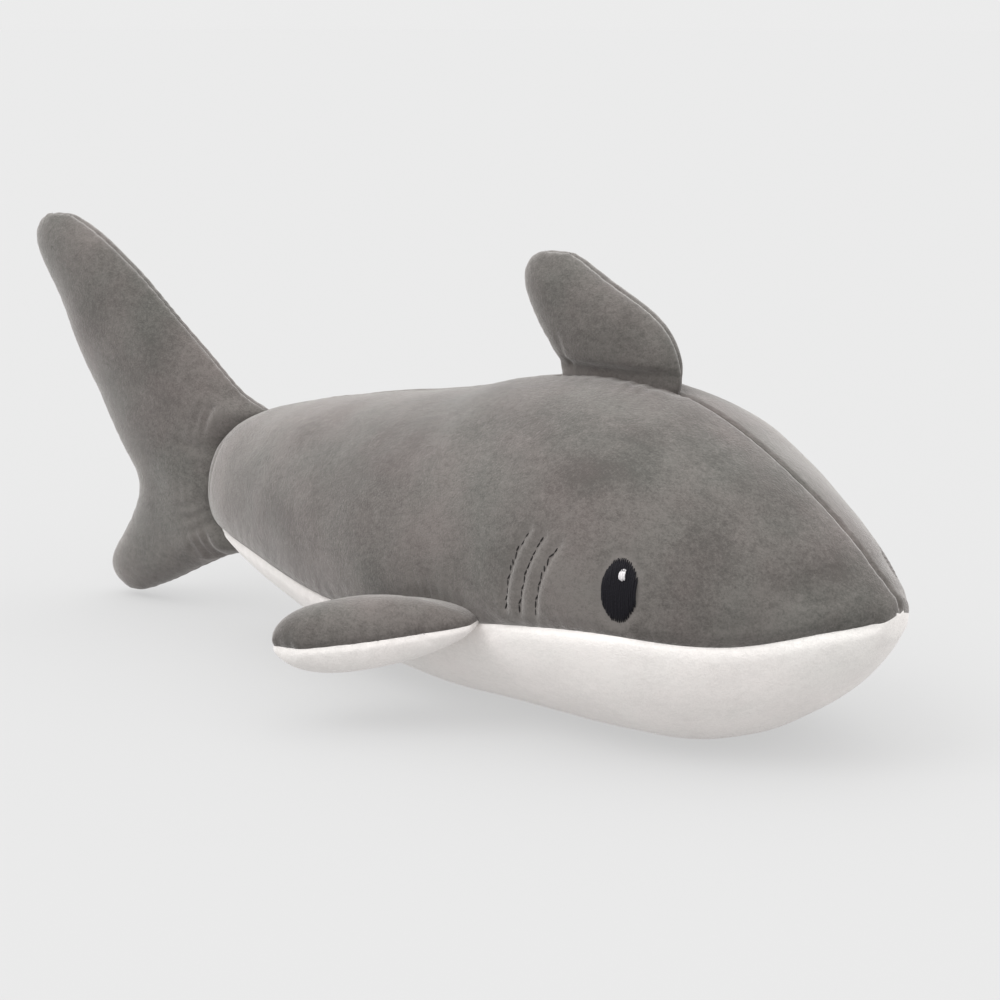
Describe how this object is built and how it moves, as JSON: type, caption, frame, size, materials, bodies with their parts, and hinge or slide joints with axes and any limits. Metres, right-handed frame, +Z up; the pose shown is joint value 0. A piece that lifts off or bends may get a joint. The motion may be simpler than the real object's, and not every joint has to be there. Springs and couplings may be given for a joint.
{
  "type": "plush shark",
  "caption": "Stuffed plush shark with a grey back, white belly, embroidered eyes and gills, and soft sewn-on fins and tail that bend at their roots.",
  "frame": {"origin": "on the surface the toy stands on, at the middle of the flat of its belly's outline", "axes": "+X towards the nose, +Y towards the shark's left, +Z up"},
  "size_m": [0.2986, 0.137, 0.113],
  "materials": {
    "grey_plush": "short soft pile, warm grey",
    "white_plush": "short soft pile, off-white",
    "filling": "polyester fibre, matt",
    "eye_thread": "satin stitch, black with a blue cast",
    "glint_thread": "satin stitch, white",
    "gill_thread": "running stitch, dark grey",
    "grey_thread": "sewing thread, grey",
    "white_thread": "sewing thread, off-white"
  },
  "bodies": {
    "torso": {"back_seam_thread_front": "grey_thread", "back_seam_thread_rear": "grey_thread", "belly_panel": "white_plush", "closing_stitch": "white_thread", "dorsal_root_thread": "grey_thread", "left_back_panel": "grey_plush", "left_belly_seam_thread_front": "white_thread", "left_belly_seam_thread_rear": "white_thread", "left_eye": "eye_thread", "left_eye_glint": "glint_thread", "left_fin_root_thread": "grey_thread", "left_gill_line_1": "gill_thread", "left_gill_line_2": "gill_thread", "left_gill_line_3": "gill_thread", "right_back_panel": "grey_plush", "right_belly_seam_thread_front": "white_thread", "right_belly_seam_thread_rear": "white_thread", "right_eye": "eye_thread", "right_eye_glint": "glint_thread", "right_fin_root_thread": "grey_thread", "right_gill_line_1": "gill_thread", "right_gill_line_2": "gill_thread", "right_gill_line_3": "gill_thread", "tail_root_thread": "grey_thread", "torso_filling": "filling"},
    "tail": {"tail_edge_thread": "grey_thread", "tail_filling": "filling", "tail_left_panel": "grey_plush", "tail_right_panel": "grey_plush"},
    "dorsal_fin": {"dorsal_fin_edge_thread": "grey_thread", "dorsal_fin_filling": "filling", "dorsal_fin_left_panel": "grey_plush", "dorsal_fin_right_panel": "grey_plush"},
    "left_fin": {"left_fin_bottom_panel": "white_plush", "left_fin_edge_thread": "grey_thread", "left_fin_filling": "filling", "left_fin_top_panel": "grey_plush"},
    "right_fin": {"right_fin_bottom_panel": "white_plush", "right_fin_edge_thread": "grey_thread", "right_fin_filling": "filling", "right_fin_top_panel": "grey_plush"}
  },
  "joints": [
    {"name": "tail_swing", "type": "hinge", "parent": "torso", "child": "tail", "pos_m": [-0.105, 0, 0.039], "axis": [0, 0, 1], "range_deg": [-25, 25], "stiffness_Nm_per_rad": 0.12},
    {"name": "dorsal_fin_lean", "type": "hinge", "parent": "torso", "child": "dorsal_fin", "pos_m": [0.036, 0, 0.083], "axis": [1, 0, 0], "range_deg": [-25, 25], "stiffness_Nm_per_rad": 0.03},
    {"name": "left_fin_flap", "type": "hinge", "parent": "torso", "child": "left_fin", "pos_m": [0.012, 0.04046, 0.02738], "axis": [0.9962, 0, 0.0872], "range_deg": [-20, 30], "stiffness_Nm_per_rad": 0.03},
    {"name": "right_fin_flap", "type": "hinge", "parent": "torso", "child": "right_fin", "pos_m": [0.012, -0.04046, 0.02738], "axis": [-0.9962, 0, -0.0872], "range_deg": [-20, 30], "stiffness_Nm_per_rad": 0.03}
  ]
}
